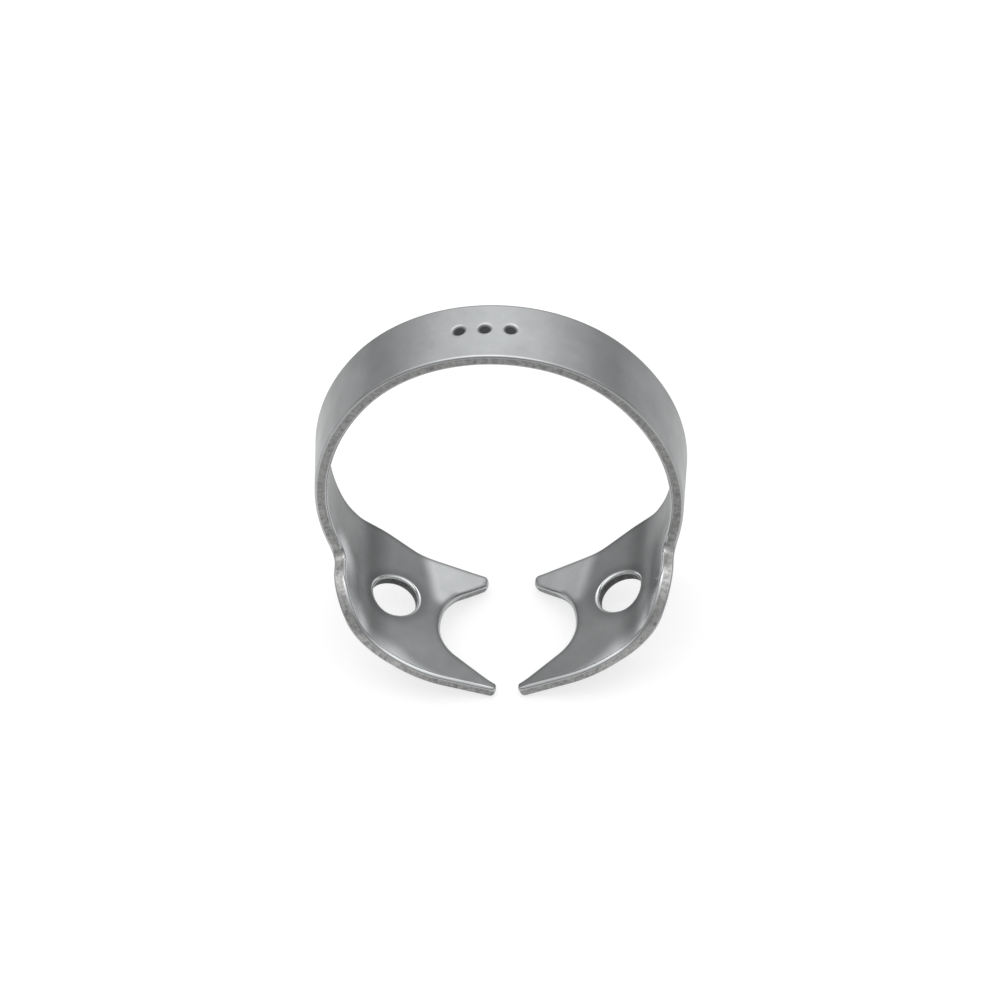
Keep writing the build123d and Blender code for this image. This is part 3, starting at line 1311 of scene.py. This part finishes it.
@dataclass
class Studio:
    """A white table under a soft top light, with a dim room round it, and the camera."""

    photo_size: int = 1000
    yaw: float = 4.358
    tilt: float = 48.0
    roll: float = 1.168
    focal_pixels: float = 3319.15
    distance: float = 225.0
    shift: tuple[float, float] = (-0.065, -0.347)
    sensor: float = 36.0
    nearest: float = 10.0           # what the camera sees starts this far from it
    paper: str = "#bcbcbc"
    glow: float = 0.66              # lifts the lit paper to white for the camera and leaves a soft shadow
    table_reach: float = 600.0      # from its middle to its sides
    pool_glow: float = 0.36         # the light pools on the paper round the clamp, as the metal shows it
    pool_reach: float = 18.0        # radius of that pool
    pool_middle: tuple[float, float, float] = (-8.0, 5.0, 0.0)
    # Sine of the height over the horizon, and how much light comes from there.
    room_light: tuple[tuple[float, float], ...] = (
        (0.0, 0.35), (0.09, 0.354), (0.26, 0.405), (0.44, 0.566), (0.52, 0.63), (0.69, 0.87), (0.77, 0.92),
        (1.0, 1.9))
    front_shade: float = 0.6        # the room is darker behind the camera
    full_light: float = 0.3         # and as bright as room_light says from this far back on
    bends: Bends = field(default_factory=Bends)

    def camera(self) -> bpy.types.Object:
        """Place the camera where the photograph was taken from.

        Returns:
            The camera.
        """
        turn, lift, roll = (math.radians(angle) for angle in (self.yaw, self.tilt, self.roll))
        axes = np.array([
            [math.cos(turn), 0.0, math.sin(turn)],
            [math.cos(lift) * math.sin(turn), math.sin(lift), -math.cos(lift) * math.cos(turn)],
            [-math.sin(lift) * math.sin(turn), math.cos(lift), math.sin(lift) * math.cos(turn)]])
        spin = np.array([
            [math.cos(roll), math.sin(roll), 0], [-math.sin(roll), math.cos(roll), 0], [0, 0, 1]])
        axes = axes @ spin
        place = axes @ np.array([-self.shift[0], -self.shift[1], self.distance]) + self.bends.stand
        data = bpy.data.cameras.new("camera")
        data.sensor_width = self.sensor
        data.lens = self.focal_pixels / self.photo_size * data.sensor_width
        data.clip_start = self.nearest * MM
        camera = new_object("camera", data)
        camera.matrix_world = Matrix([[*axes[row], place[row] * MM] for row in range(3)] + [[0, 0, 0, 1]])
        bpy.context.scene.camera = camera
        return camera

    def white_paper(self) -> bpy.types.Material:
        """Build the table's paper: white for the camera and a weak pool of light for the metal.

        Returns:
            Its material.
        """
        material = new_material("white_table")
        tree = material.node_tree
        path = add_node(tree, "ShaderNodeLightPath").outputs
        here = add_node(tree, "ShaderNodeTexCoord").outputs["Object"]
        middle = tuple(place * MM for place in self.pool_middle)
        away = add_node(tree, "ShaderNodeVectorMath", {0: here, 1: middle}, operation="DISTANCE")
        do = partial(maths, tree)
        pool = do("MINIMUM", do("DIVIDE", self.pool_reach * MM, away.outputs["Value"]), 1.0)
        seen = do("MULTIPLY", do("MAXIMUM", path["Is Camera Ray"], path["Is Transmission Ray"]), self.glow)
        shone = do("MULTIPLY", do("MULTIPLY", path["Is Glossy Ray"], pool), self.pool_glow)
        paper = add_node(tree, "ShaderNodeBsdfDiffuse", {"Color": linear(self.paper)})
        light = {"Color": (1, 1, 1, 1), "Strength": do("ADD", seen, shone)}
        white = add_node(tree, "ShaderNodeEmission", light)
        both = add_node(tree, "ShaderNodeAddShader", {0: paper.outputs[0], 1: white.outputs[0]})
        add_node(tree, "ShaderNodeOutputMaterial", {"Surface": both.outputs[0]})
        return material

    def table(self) -> bpy.types.Object:
        """Lay the white table under the prong tips.

        Returns:
            The table.
        """
        reach = self.table_reach * MM
        corners = [(-reach, -reach, 0), (reach, -reach, 0), (reach, reach, 0), (-reach, reach, 0)]
        mesh = bpy.data.meshes.new("table")
        mesh.from_pydata(corners, [], [(0, 1, 2, 3)])
        mesh.materials.append(self.white_paper())
        table = new_object("table", mesh)
        return table

    def room(self) -> None:
        """Light the scene with a dim room, brighter overhead, that the camera sees as white."""
        world = bpy.data.worlds.new("studio")
        world.use_nodes = True
        tree = world.node_tree
        tree.nodes.clear()
        way = add_node(tree, "ShaderNodeTexCoord").outputs["Generated"]
        split = add_node(tree, "ShaderNodeSeparateXYZ", {0: way}).outputs
        ramp = add_node(tree, "ShaderNodeValToRGB", {"Fac": split["Z"]})
        while len(ramp.color_ramp.elements) < len(self.room_light):
            ramp.color_ramp.elements.new(0.5)
        for element, (place, level) in zip(ramp.color_ramp.elements, self.room_light):
            element.position = place
            element.color = (level, level, level, 1.0)
        shade = mapped(tree, split["Y"], -1.0, self.full_light, self.front_shade, 1.0)
        dim = add_node(tree, "ShaderNodeBackground", {"Color": ramp.outputs[0], "Strength": shade})
        white = add_node(tree, "ShaderNodeBackground", {"Color": (1, 1, 1, 1), "Strength": 1.0})
        seen = add_node(tree, "ShaderNodeLightPath").outputs["Is Camera Ray"]
        mixed = add_node(tree, "ShaderNodeMixShader", {0: seen, 1: dim.outputs[0], 2: white.outputs[0]})
        add_node(tree, "ShaderNodeOutputWorld", {"Surface": mixed.outputs[0]})
        bpy.context.scene.world = world

    def build(self) -> None:
        """Set up the table, the room and the camera."""
        self.table()
        self.room()
        self.camera()
        bpy.context.scene.view_settings.view_transform = "Standard"
        log.info("studio ready")


def main() -> None:
    """Load the frame, build the clamp and its studio."""
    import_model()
    strip = ClampStrip()
    strip.build()
    Studio(bends=strip.bends).build()


if __name__ == "__main__":
    main()
